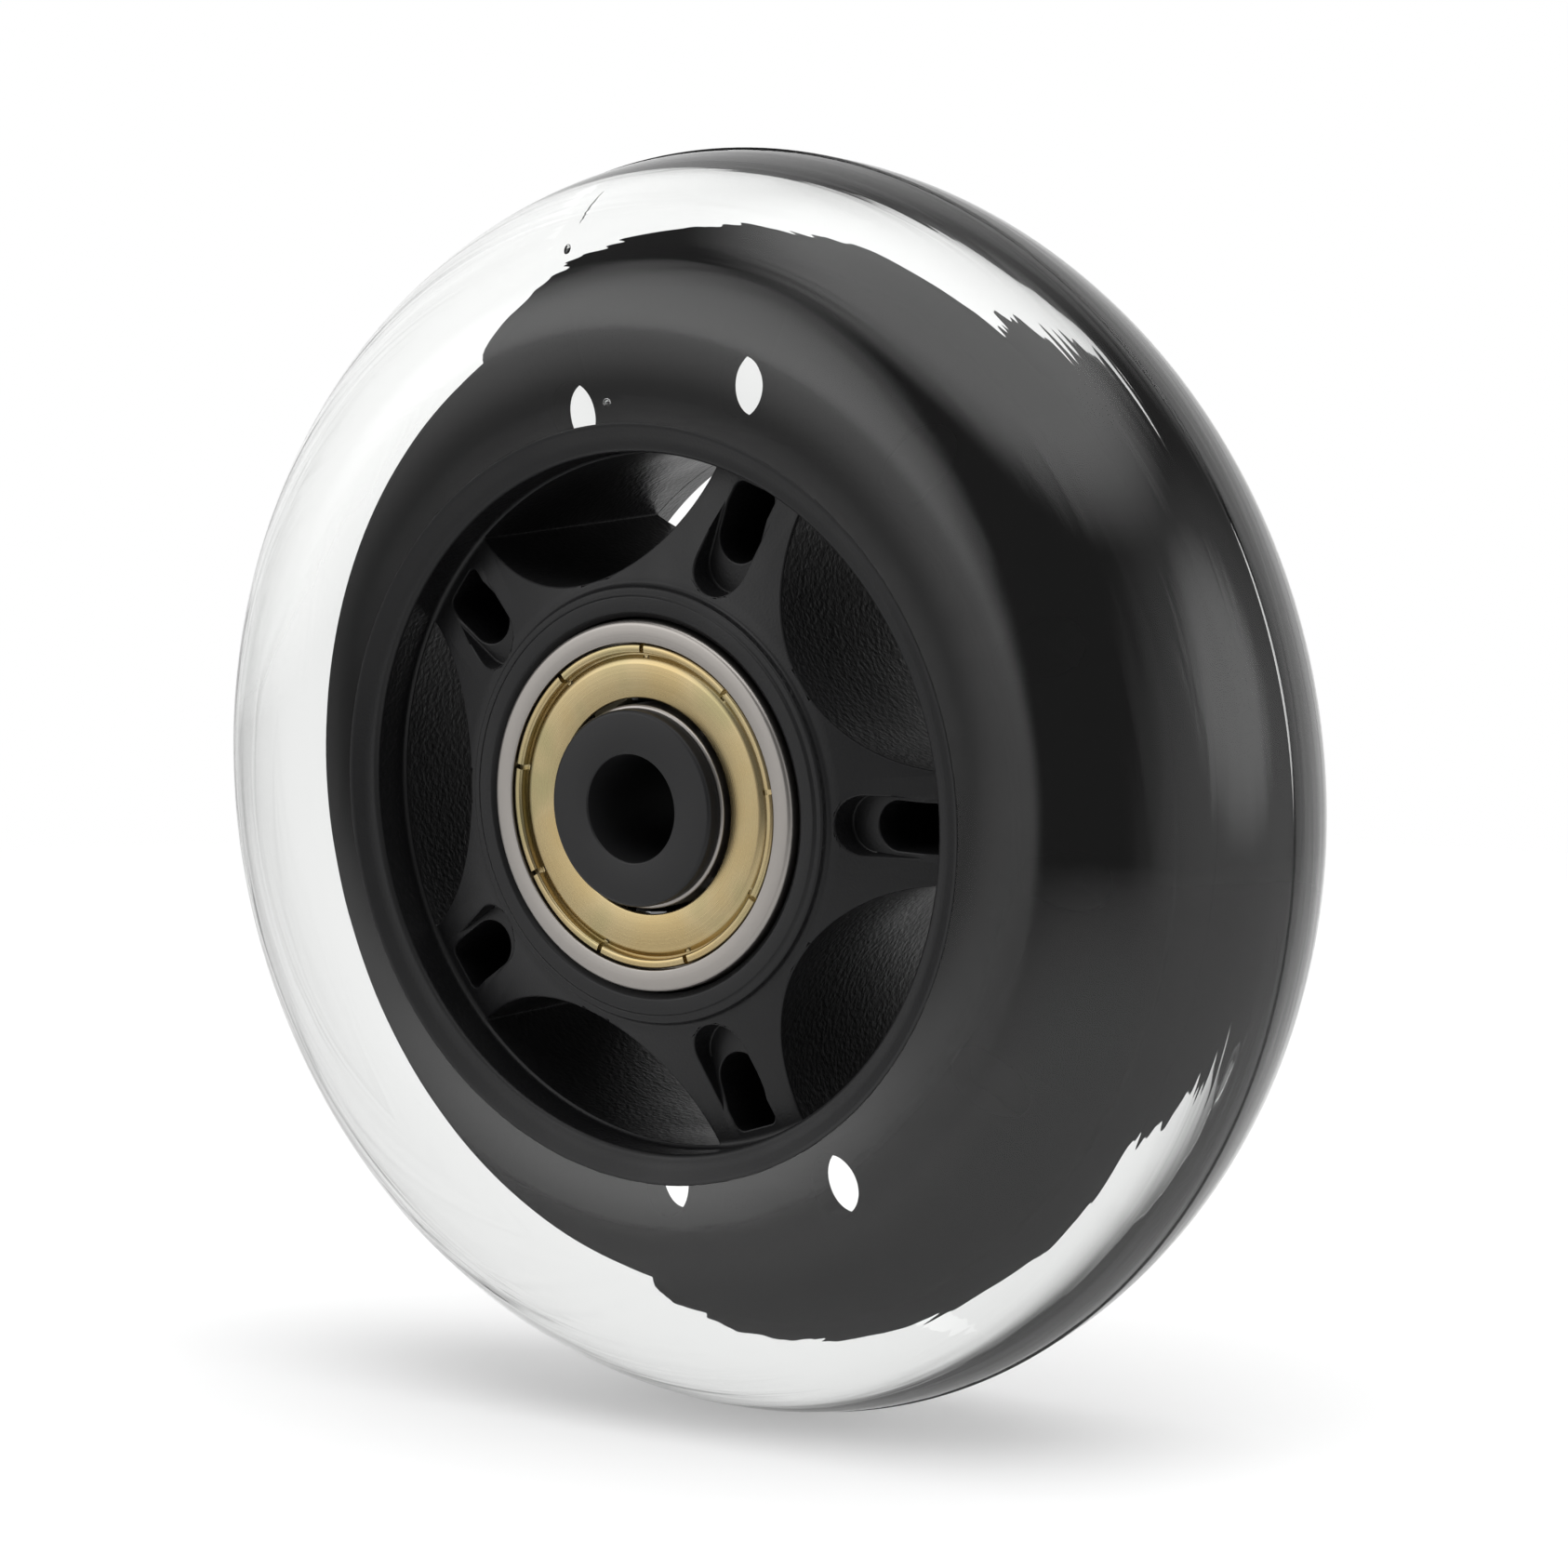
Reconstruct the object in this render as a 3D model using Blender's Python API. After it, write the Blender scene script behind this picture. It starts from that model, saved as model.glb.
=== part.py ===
"""Chair caster wheel: a clear cast tyre on a black five-arm hub with two shielded ball bearings.

The wheel spins about the Y axis. The origin is the wheel's centre, and the front face looks along -Y.
All lengths are in metres. "out" is the distance along the axis, from a piece's own middle to its face.
"""
import math

import bmesh
import bpy
from mathutils import Matrix, Vector

# Overall sizes
TYRE_RADIUS = 0.038
WHEEL_WIDTH = 0.024

# Gaps between pieces that touch or are pressed together, and running clearances
CONTACT_GAP = 0.0003
SLEEVE_GAP = 0.0002
BALL_GAP = 0.00015
CAGE_GAP = 0.0002

# Bearings, a standard size
BEARING_BORE_RADIUS = 0.004
BEARING_OUTER_RADIUS = 0.011
BEARING_WIDTH = 0.007
BALL_RADIUS = 0.0019845
BALL_COUNT = 7
INNER_SHOULDER_INSET = 0.00145
OUTER_SHOULDER_INSET = 0.00135
RING_CHAMFER = 0.0003
SHIELD_REBATE_WALL = 0.00115
SHIELD_REBATE_DEPTH = 0.0009
SHIELD_INNER_CLEARANCE = 0.00035
SHIELD_THICKNESS = 0.0003
SHIELD_LIP_WIDTH = 0.0007
SHIELD_LIP_HEIGHT = 0.00025
SHIELD_NOTCH_COUNT = 9
SHIELD_NOTCH_WIDTH = 0.00035
CAGE_WALL = 0.0018
CAGE_GRIP = 0.0009

# Bushings and the sleeve between the bearings
BUSHING_WALL = 0.0006
BUSHING_FLANGE_RADIUS = 0.00585
BUSHING_STANDOUT = 0.001
BUSHING_CHAMFER = 0.0002
SPACER_WALL = 0.0015

# Hub
RIM_INNER_RADIUS = 0.0208
RIM_WALL = 0.0018
RIM_LIP_SETBACK = 0.0009
BOSS_SETBACK = 0.0003
BOSS_LIP_WIDTH = 0.0016
BEARING_SHOULDER_WIDTH = 0.0017
ARM_COUNT = 5
ARM_SETBACK = 0.001
ARM_SETBACK_AT_RIM = 0.0036
ARM_HALF_WIDTH_AT_RIM = 0.0033
WINDOW_LEDGE = 0.0002
WINDOW_WALL = 0.0023
SLOT_WALL = 0.0021
SLOT_HALF_WIDTH = 0.00175
SLOT_DEPTH = 0.0018
SLOT_OUTER_WALL = 0.0006
POCKET_LEDGE = 0.0019
POCKET_SIDE_LEDGE = 0.00015
POCKET_WEB = 0.003
FLANGE_REACH = 0.0072
FLANGE_THICKNESS = 0.003
FLANGE_HOLE_RADIUS = 0.0016
FLANGE_HOLE_WALL = 0.0003
FLANGE_HOLE_COUNT = 12
FLANGE_HOLE_START = math.radians(23.5)

# Tyre: widest partway out, a superellipse from there to the tread and a gentler one back to the rim
TYRE_WIDEST = 0.0052
TREAD_EXPONENT = 1.78
SIDE_EXPONENT = 2.4
SIDE_LENGTH = 0.0155
TYRE_INNER_LIP = 0.0002

# Fineness of the round shapes
WHEEL_STEPS = 60
BEARING_STEPS = 32
HOLE_STEPS = 12
TREAD_STEPS = 6
SIDE_STEPS = 3
GROOVE_STEPS = 6
WINDOW_STEPS = 10
BALL_SEGMENTS = 12
BALL_RINGS = 8
CUT_MARGIN = 0.002

# Places worked out from the sizes above
half_width = WHEEL_WIDTH / 2
bearing_centre = half_width - BEARING_WIDTH / 2
pitch_radius = (BEARING_BORE_RADIUS + BEARING_OUTER_RADIUS) / 2
groove_radius = BALL_RADIUS + BALL_GAP
inner_shoulder_radius = pitch_radius - INNER_SHOULDER_INSET
outer_shoulder_radius = pitch_radius + OUTER_SHOULDER_INSET
rebate_radius = BEARING_OUTER_RADIUS - SHIELD_REBATE_WALL
shield_back = BEARING_WIDTH / 2 - SHIELD_REBATE_DEPTH + CONTACT_GAP
shank_radius = BEARING_BORE_RADIUS - SLEEVE_GAP
seat_radius = BEARING_OUTER_RADIUS + CONTACT_GAP
seat_floor = half_width - BEARING_WIDTH - CONTACT_GAP
rim_outer_radius = RIM_INNER_RADIUS + RIM_WALL
window_outer_radius = RIM_INNER_RADIUS - WINDOW_LEDGE
flange_radius = rim_outer_radius + FLANGE_REACH
tyre_inner_radius = rim_outer_radius + CONTACT_GAP
hole_circle_radius = tyre_inner_radius + FLANGE_HOLE_WALL + FLANGE_HOLE_RADIUS
lip_face = half_width - RIM_LIP_SETBACK
arm_pitch = 2 * math.pi / ARM_COUNT


def clear_scene():
    for thing in list(bpy.data.objects):
        bpy.data.objects.remove(thing, do_unlink=True)


def make_material(name, colour, roughness, metallic, alpha=1.0):
    material = bpy.data.materials.new(name)
    material.use_nodes = True
    shader = material.node_tree.nodes["Principled BSDF"]
    shader.inputs["Base Color"].default_value = (*colour, 1.0)
    shader.inputs["Roughness"].default_value = roughness
    shader.inputs["Metallic"].default_value = metallic
    shader.inputs["Alpha"].default_value = alpha
    material.diffuse_color = (*colour, alpha)
    return material


def make_axis(name, place=(0, 0, 0), turn=0.0, parent=None):
    """An empty on a joint's axis, or at a bearing's middle, that carries the pieces around it."""
    axis = bpy.data.objects.new(name, None)
    axis.empty_display_size = BEARING_BORE_RADIUS
    axis.location = place
    axis.rotation_euler = (0, 0, turn)
    axis.parent = parent
    bpy.context.scene.collection.objects.link(axis)
    return axis


def make_mesh(name, shape):
    bmesh.ops.remove_doubles(shape, verts=shape.verts, dist=1e-7)
    bmesh.ops.recalc_face_normals(shape, faces=shape.faces)
    mesh = bpy.data.meshes.new(name)
    shape.to_mesh(mesh)
    shape.free()
    mesh.shade_smooth()
    mesh.set_sharp_from_angle(angle=math.radians(30))
    return mesh


def make_object(name, mesh, parent, place=(0, 0, 0), turn=(0, 0, 0)):
    thing = bpy.data.objects.new(name, mesh)
    thing.location = place
    thing.rotation_euler = turn
    thing.parent = parent
    bpy.context.scene.collection.objects.link(thing)
    return thing


def make_cutter(name, shape, parent):
    cutter = make_object(name, make_mesh(name, shape), parent)
    cutter.hide_render = True
    cutter.display_type = "WIRE"
    return cutter


def add_boolean(thing, cutter, operation):
    modifier = thing.modifiers.new(cutter.name, "BOOLEAN")
    modifier.operation = operation
    modifier.object = cutter


def turned(profile, steps):
    """A closed outline of (radius, out) points turned about the Y axis, with out towards -Y."""
    shape = bmesh.new()
    corners = [shape.verts.new((radius, -out, 0)) for radius, out in profile]
    for corner, following in zip(corners, corners[1:] + corners[:1]):
        shape.edges.new((corner, following))
    bmesh.ops.spin(
        shape,
        geom=shape.verts[:] + shape.edges[:],
        cent=(0, 0, 0),
        axis=(0, 1, 0),
        angle=2 * math.pi,
        steps=steps,
        use_merge=True,
    )
    return shape


def add_prism(shape, outline, low, high, turn):
    """An outline of (x, z) points made solid from y = low to y = high, turned about the Y axis."""
    start = [shape.verts.new((x, low, z)) for x, z in outline]
    base = shape.faces.new(start)
    grown = bmesh.ops.extrude_face_region(shape, geom=[base])
    moved = [item for item in grown["geom"] if isinstance(item, bmesh.types.BMVert)]
    bmesh.ops.translate(shape, vec=(0, high - low, 0), verts=moved)
    bmesh.ops.rotate(
        shape, cent=(0, 0, 0), matrix=Matrix.Rotation(-turn, 3, "Y"), verts=start + moved
    )


def add_pins(shape, radius, half_length, circle_radius, count, start):
    """A ring of round pins that lie along the Y axis."""
    lay_down = Matrix.Rotation(math.pi / 2, 4, "X")
    for index in range(count):
        angle = start + index * 2 * math.pi / count
        place = (circle_radius * math.cos(angle), 0, circle_radius * math.sin(angle))
        bmesh.ops.create_cone(
            shape,
            cap_ends=True,
            segments=HOLE_STEPS,
            radius1=radius,
            radius2=radius,
            depth=2 * half_length,
            matrix=Matrix.Translation(place) @ lay_down,
        )


def arc(centre, radius, start, end, steps):
    """Points of a round arc, as (across, along) pairs, from one angle to another."""
    points = []
    for index in range(steps + 1):
        angle = start + (end - start) * index / steps
        points.append((centre[0] + radius * math.cos(angle), centre[1] + radius * math.sin(angle)))
    return points


def both_faces(half_profile):
    """Adds the mirrored rear half to the front half of a (radius, out) outline."""
    return half_profile + [(radius, -out) for radius, out in reversed(half_profile)]


def hub_profile():
    boss_face = half_width - BOSS_SETBACK
    boss_edge = seat_radius + BOSS_LIP_WIDTH
    window_inner = seat_radius + WINDOW_WALL
    shoulder_radius = BEARING_OUTER_RADIUS - BEARING_SHOULDER_WIDTH
    return both_faces([
        (shoulder_radius, seat_floor),
        (seat_radius, seat_floor),
        (seat_radius, boss_face),
        (boss_edge, boss_face),
        (window_inner, half_width - ARM_SETBACK),
        (RIM_INNER_RADIUS, half_width - ARM_SETBACK_AT_RIM),
        (RIM_INNER_RADIUS, lip_face),
        (rim_outer_radius, lip_face),
        (rim_outer_radius, FLANGE_THICKNESS / 2),
        (flange_radius, FLANGE_THICKNESS / 2),
    ])


def window_outline():
    """The space between two arms: a scallop round the boss, closed by the inside of the rim."""
    inner_radius = seat_radius + WINDOW_WALL
    corner = arm_pitch / 2 - math.asin(ARM_HALF_WIDTH_AT_RIM / window_outer_radius)
    corner_x = window_outer_radius * math.cos(corner)
    corner_z = window_outer_radius * math.sin(corner)
    centre = (corner_x**2 + corner_z**2 - inner_radius**2) / (2 * (corner_x - inner_radius))
    spread = math.atan2(corner_z, corner_x - centre)
    scallop = arc((centre, 0), centre - inner_radius, spread, 2 * math.pi - spread, WINDOW_STEPS)
    rim = arc((0, 0), window_outer_radius, -corner, corner, WINDOW_STEPS)
    return scallop + rim[1:-1]


def slot_outline(inner_end, outer_end, side):
    """A slot along +X with a round inner end and a square outer end."""
    inner = arc((inner_end + side, 0), side, math.pi / 2, 3 * math.pi / 2, HOLE_STEPS // 2)
    return inner + [(outer_end, -side), (outer_end, side)]


def make_hub(material, axis):
    mesh = make_mesh("hub", turned(hub_profile(), WHEEL_STEPS))
    mesh.materials.append(material)
    hub = make_object("hub", mesh, axis)
    past_face = half_width + CUT_MARGIN
    slot_start = seat_radius + SLOT_WALL
    slot_end = RIM_INNER_RADIUS - SLOT_OUTER_WALL
    slot_floor = half_width - ARM_SETBACK - SLOT_DEPTH
    pocket = slot_outline(
        slot_start + POCKET_LEDGE, slot_end - POCKET_SIDE_LEDGE, SLOT_HALF_WIDTH - POCKET_SIDE_LEDGE
    )
    windows = bmesh.new()
    slots = bmesh.new()
    pockets = bmesh.new()
    holes = bmesh.new()
    for index in range(ARM_COUNT):
        turn = index * arm_pitch
        add_prism(windows, window_outline(), -past_face, past_face, turn + arm_pitch / 2)
        slot = slot_outline(slot_start, slot_end, SLOT_HALF_WIDTH)
        add_prism(slots, slot, -past_face, -slot_floor, turn)
        add_prism(slots, slot, slot_floor, past_face, turn)
        add_prism(pockets, pocket, -past_face, -POCKET_WEB / 2, turn)
        add_prism(pockets, pocket, POCKET_WEB / 2, past_face, turn)
    add_pins(
        holes,
        FLANGE_HOLE_RADIUS,
        FLANGE_THICKNESS,
        hole_circle_radius,
        FLANGE_HOLE_COUNT,
        FLANGE_HOLE_START,
    )
    add_boolean(hub, make_cutter("window_cutter", windows, axis), "DIFFERENCE")
    add_boolean(hub, make_cutter("slot_cutter", slots, axis), "DIFFERENCE")
    add_boolean(hub, make_cutter("pocket_cutter", pockets, axis), "DIFFERENCE")
    add_boolean(hub, make_cutter("flange_hole_cutter", holes, axis), "DIFFERENCE")


def side_width(back):
    """Half width of the tyre at a distance back from its widest ring towards the rim."""
    return half_width * (1 - (back / SIDE_LENGTH) ** SIDE_EXPONENT) ** (1 / SIDE_EXPONENT)


def tyre_profile():
    tread_start = tyre_inner_radius + TYRE_WIDEST
    tread_depth = TYRE_RADIUS - tread_start
    power = 2 / TREAD_EXPONENT
    pocket = FLANGE_THICKNESS / 2 + CONTACT_GAP
    half_profile = [
        (flange_radius + CONTACT_GAP, pocket),
        (tyre_inner_radius, pocket),
        (tyre_inner_radius, side_width(TYRE_WIDEST) - TYRE_INNER_LIP),
        (tyre_inner_radius + TYRE_INNER_LIP, side_width(TYRE_WIDEST - TYRE_INNER_LIP)),
    ]
    for index in range(1, SIDE_STEPS):
        back = TYRE_WIDEST * (1 - index / SIDE_STEPS)
        half_profile.append((tread_start - back, side_width(back)))
    for index in range(TREAD_STEPS):
        angle = math.pi / 2 * index / TREAD_STEPS
        radius = tread_start + tread_depth * math.sin(angle) ** power
        half_profile.append((radius, half_width * math.cos(angle) ** power))
    return half_profile


def make_tyre(material, axis):
    """The tyre is cast round the hub's flange, and plugs of it fill the flange's holes."""
    front = tyre_profile()
    rear = [(radius, -out) for radius, out in reversed(front)]
    profile = front + [(TYRE_RADIUS, 0)] + rear
    mesh = make_mesh("tyre", turned(profile, WHEEL_STEPS))
    mesh.materials.append(material)
    tyre = make_object("tyre", mesh, axis)
    plugs = bmesh.new()
    add_pins(
        plugs,
        FLANGE_HOLE_RADIUS - CONTACT_GAP,
        FLANGE_THICKNESS,
        hole_circle_radius,
        FLANGE_HOLE_COUNT,
        FLANGE_HOLE_START,
    )
    add_boolean(tyre, make_cutter("plug_former", plugs, axis), "UNION")


def outer_ring_mesh(material):
    """Turned ring with a groove for the balls and a rebate in each face for a shield."""
    face = BEARING_WIDTH / 2
    spread = math.acos(OUTER_SHOULDER_INSET / groove_radius)
    groove = arc((pitch_radius, 0), groove_radius, -spread, spread, GROOVE_STEPS)
    side = [
        (outer_shoulder_radius, face - SHIELD_REBATE_DEPTH),
        (rebate_radius, face - SHIELD_REBATE_DEPTH),
        (rebate_radius, face),
        (BEARING_OUTER_RADIUS - RING_CHAMFER, face),
        (BEARING_OUTER_RADIUS, face - RING_CHAMFER),
    ]
    mesh = make_mesh("outer_ring", turned(groove + both_faces(side), BEARING_STEPS))
    mesh.materials.append(material)
    return mesh


def inner_ring_mesh(material):
    """Turned ring with the ball groove in its outside."""
    face = BEARING_WIDTH / 2
    spread = math.acos(INNER_SHOULDER_INSET / groove_radius)
    groove = arc((pitch_radius, 0), groove_radius, math.pi + spread, math.pi - spread, GROOVE_STEPS)
    side = [
        (inner_shoulder_radius, face),
        (BEARING_BORE_RADIUS + RING_CHAMFER, face),
        (BEARING_BORE_RADIUS, face - RING_CHAMFER),
    ]
    mesh = make_mesh("inner_ring", turned(groove + both_faces(side), BEARING_STEPS))
    mesh.materials.append(material)
    return mesh


def shield_mesh(material):
    """Pressed plate with a rolled lip, which is notched where it is crimped into the outer ring."""
    outer = rebate_radius - CONTACT_GAP
    front = shield_back + SHIELD_THICKNESS
    lip_start = outer - SHIELD_LIP_WIDTH
    shape = turned(
        [
            (inner_shoulder_radius + SHIELD_INNER_CLEARANCE, shield_back),
            (outer, shield_back),
            (outer, front + SHIELD_LIP_HEIGHT),
            (lip_start, front + SHIELD_LIP_HEIGHT),
            (lip_start, front),
            (inner_shoulder_radius + SHIELD_INNER_CLEARANCE, front),
        ],
        BEARING_STEPS,
    )
    mesh = make_mesh("shield", shape)
    mesh.materials.append(material)
    return mesh


def make_notch_cutter(axis):
    """Nine narrow blocks that part the rolled lip of a shield."""
    outer = rebate_radius
    inner = rebate_radius - CONTACT_GAP - SHIELD_LIP_WIDTH - CONTACT_GAP
    side = SHIELD_NOTCH_WIDTH / 2
    outline = [(inner, -side), (outer, -side), (outer, side), (inner, side)]
    front = shield_back + SHIELD_THICKNESS
    blocks = bmesh.new()
    for index in range(SHIELD_NOTCH_COUNT):
        turn = (index + 0.25) * 2 * math.pi / SHIELD_NOTCH_COUNT
        add_prism(blocks, outline, -front - SHIELD_LIP_HEIGHT - CONTACT_GAP, -front, turn)
    return make_cutter("notch_cutter_" + axis.name, blocks, axis)


def cage_mesh(material):
    """A crown cage before its pockets are cut: a ring that is closed on its inner side."""
    pocket_radius = BALL_RADIUS + CAGE_GAP
    back = (pocket_radius + shield_back) / 2
    profile = [
        (pitch_radius - CAGE_WALL / 2, -back),
        (pitch_radius + CAGE_WALL / 2, -back),
        (pitch_radius + CAGE_WALL / 2, CAGE_GRIP),
        (pitch_radius - CAGE_WALL / 2, CAGE_GRIP),
    ]
    mesh = make_mesh("ball_cage", turned(profile, BEARING_STEPS))
    mesh.materials.append(material)
    return mesh


def ball_places():
    places = []
    for index in range(BALL_COUNT):
        angle = index * 2 * math.pi / BALL_COUNT
        places.append(Vector((pitch_radius * math.cos(angle), 0, pitch_radius * math.sin(angle))))
    return places


def add_ball(shape, radius, place):
    bmesh.ops.create_uvsphere(
        shape,
        u_segments=BALL_SEGMENTS,
        v_segments=BALL_RINGS,
        radius=radius,
        matrix=Matrix.Translation(place),
    )


def ball_mesh(material):
    shape = bmesh.new()
    add_ball(shape, BALL_RADIUS, Vector())
    mesh = make_mesh("ball", shape)
    mesh.materials.append(material)
    return mesh


def make_bearing(side, meshes, place, turn):
    """One bearing round the wheel's axis: its outside faces away from the wheel's middle."""
    fixed = make_axis(side + "_inner_axis", place, turn)
    spinning = make_axis(side + "_outer_axis", place, turn)
    orbiting = make_axis(side + "_cage_axis", place, turn)
    make_object(side + "_inner_ring", meshes["inner_ring"], fixed)
    make_object(side + "_outer_ring", meshes["outer_ring"], spinning)
    outer_shield = make_object(side + "_outer_shield", meshes["shield"], spinning)
    add_boolean(outer_shield, make_notch_cutter(spinning), "DIFFERENCE")
    make_object(side + "_inner_shield", meshes["shield"], spinning, turn=(0, 0, math.pi))
    cage = make_object(side + "_ball_cage", meshes["cage"], orbiting)
    pockets = bmesh.new()
    for number, ball_place in enumerate(ball_places(), start=1):
        make_object(f"{side}_ball_{number}", meshes["ball"], orbiting, ball_place)
        add_ball(pockets, BALL_RADIUS + CAGE_GAP, ball_place)
    add_boolean(cage, make_cutter(side + "_pocket_cutter", pockets, orbiting), "DIFFERENCE")


def bushing_mesh(material):
    """Flanged sleeve that reduces the bearing's bore to the axle screw's size."""
    bore = shank_radius - BUSHING_WALL
    flange_back = half_width + CONTACT_GAP
    flange_front = half_width + BUSHING_STANDOUT
    profile = [
        (bore, CONTACT_GAP / 2),
        (shank_radius, CONTACT_GAP / 2),
        (shank_radius, flange_back),
        (BUSHING_FLANGE_RADIUS, flange_back),
        (BUSHING_FLANGE_RADIUS, flange_front - BUSHING_CHAMFER),
        (BUSHING_FLANGE_RADIUS - BUSHING_CHAMFER, flange_front),
        (bore, flange_front),
    ]
    mesh = make_mesh("bushing", turned(profile, BEARING_STEPS))
    mesh.materials.append(material)
    return mesh


def make_spacer(material, axis):
    """Sleeve that keeps the two inner rings apart when the axle screw is tightened."""
    half_length = half_width - BEARING_WIDTH - CONTACT_GAP
    inner = shank_radius + SLEEVE_GAP
    profile = both_faces([(inner, half_length), (inner + SPACER_WALL, half_length)])
    mesh = make_mesh("spacer_sleeve", turned(profile, BEARING_STEPS))
    mesh.materials.append(material)
    make_object("spacer_sleeve", mesh, axis)


def main():
    clear_scene()
    urethane = make_material("clear_urethane", (0.93, 0.94, 0.94), 0.05, 0.0, alpha=0.35)
    nylon = make_material("black_nylon", (0.012, 0.012, 0.013), 0.45, 0.0)
    bushing_nylon = make_material("bushing_nylon", (0.018, 0.018, 0.02), 0.35, 0.0)
    ring_steel = make_material("ground_steel", (0.62, 0.61, 0.60), 0.25, 1.0)
    ball_steel = make_material("polished_steel", (0.72, 0.72, 0.73), 0.08, 1.0)
    shield_plate = make_material("gold_plate", (0.66, 0.50, 0.24), 0.3, 1.0)
    cage_nylon = make_material("cage_nylon", (0.62, 0.57, 0.45), 0.5, 0.0)
    spacer_alloy = make_material("spacer_alloy", (0.75, 0.76, 0.77), 0.35, 1.0)

    wheel_axis = make_axis("wheel_axis")
    axle_axis = make_axis("axle_axis")
    make_tyre(urethane, wheel_axis)
    make_hub(nylon, wheel_axis)
    make_spacer(spacer_alloy, axle_axis)

    meshes = {
        "outer_ring": outer_ring_mesh(ring_steel),
        "inner_ring": inner_ring_mesh(ring_steel),
        "shield": shield_mesh(shield_plate),
        "cage": cage_mesh(cage_nylon),
        "ball": ball_mesh(ball_steel),
    }
    make_bearing("front", meshes, (0, -bearing_centre, 0), 0.0)
    make_bearing("rear", meshes, (0, bearing_centre, 0), math.pi)

    bushing = bushing_mesh(bushing_nylon)
    make_object("front_bushing", bushing, axle_axis)
    make_object("rear_bushing", bushing, axle_axis, turn=(0, 0, math.pi))


main()
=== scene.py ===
import math

import bpy
from mathutils import Matrix, Vector


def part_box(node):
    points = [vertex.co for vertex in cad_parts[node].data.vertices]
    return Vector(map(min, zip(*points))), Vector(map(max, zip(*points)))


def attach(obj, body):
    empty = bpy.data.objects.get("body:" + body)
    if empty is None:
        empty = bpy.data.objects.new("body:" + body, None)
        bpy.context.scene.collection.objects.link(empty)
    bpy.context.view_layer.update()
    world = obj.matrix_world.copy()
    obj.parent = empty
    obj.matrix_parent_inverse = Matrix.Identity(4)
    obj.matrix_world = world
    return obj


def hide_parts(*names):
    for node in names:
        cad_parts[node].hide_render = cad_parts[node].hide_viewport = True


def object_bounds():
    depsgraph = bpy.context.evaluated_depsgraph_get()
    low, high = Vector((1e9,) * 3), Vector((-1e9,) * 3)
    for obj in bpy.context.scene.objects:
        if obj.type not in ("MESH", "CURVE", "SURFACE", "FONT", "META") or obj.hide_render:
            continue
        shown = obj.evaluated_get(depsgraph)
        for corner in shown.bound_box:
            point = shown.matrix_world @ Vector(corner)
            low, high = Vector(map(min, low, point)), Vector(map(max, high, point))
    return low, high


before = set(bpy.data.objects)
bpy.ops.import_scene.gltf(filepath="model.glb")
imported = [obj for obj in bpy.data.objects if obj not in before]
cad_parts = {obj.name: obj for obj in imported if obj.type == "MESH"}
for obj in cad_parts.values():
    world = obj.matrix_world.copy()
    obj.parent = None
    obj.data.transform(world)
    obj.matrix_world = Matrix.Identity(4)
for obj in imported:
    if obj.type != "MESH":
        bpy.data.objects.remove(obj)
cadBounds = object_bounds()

mm = 0.001
scene = bpy.context.scene
scene.view_settings.view_transform = "Standard"
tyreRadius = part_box("tyre")[1].z
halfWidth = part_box("tyre")[1].y
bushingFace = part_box("rear_bushing")[1].y
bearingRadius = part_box("front_outer_ring")[1].z
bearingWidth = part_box("front_outer_ring")[1].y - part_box("front_outer_ring")[0].y
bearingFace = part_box("rear_outer_ring")[1].y


# ---- working by hand: select, shape, finish ----

def deselectAll():
    if bpy.context.object and bpy.context.object.mode != "OBJECT":
        bpy.ops.object.mode_set(mode="OBJECT")
    bpy.ops.object.select_all(action="DESELECT")


def pick(*pieces):
    # the last piece picked is the active one
    deselectAll()
    for piece in pieces:
        piece.select_set(True)
        bpy.context.view_layer.objects.active = piece


def named(name):
    piece = bpy.context.object
    piece.name = name
    piece.data.name = name
    return piece


def selectWhere(piece, test, kind="VERT"):
    # chooses vertices, edges or faces by their place, and leaves the piece in edit mode
    pick(piece)
    bpy.ops.object.mode_set(mode="EDIT")
    bpy.ops.mesh.select_mode(type=kind)
    bpy.ops.mesh.select_all(action="DESELECT")
    bpy.ops.object.mode_set(mode="OBJECT")
    mesh = piece.data
    items = {"VERT": mesh.vertices, "EDGE": mesh.edges, "FACE": mesh.polygons}[kind]
    for item in items:
        item.select = bool(test(item))
    bpy.ops.object.mode_set(mode="EDIT")


def finishMesh(piece, smoothAngle=35):
    # place goes into the mesh, doubles are merged, faces point outwards
    pick(piece)
    bpy.ops.object.transform_apply(location=True, rotation=True, scale=True)
    bpy.ops.object.mode_set(mode="EDIT")
    bpy.ops.mesh.select_all(action="SELECT")
    bpy.ops.mesh.remove_doubles(threshold=1e-6)
    bpy.ops.mesh.normals_make_consistent(inside=False)
    bpy.ops.object.mode_set(mode="OBJECT")
    bpy.ops.object.shade_smooth_by_angle(angle=math.radians(smoothAngle))
    return piece


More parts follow.
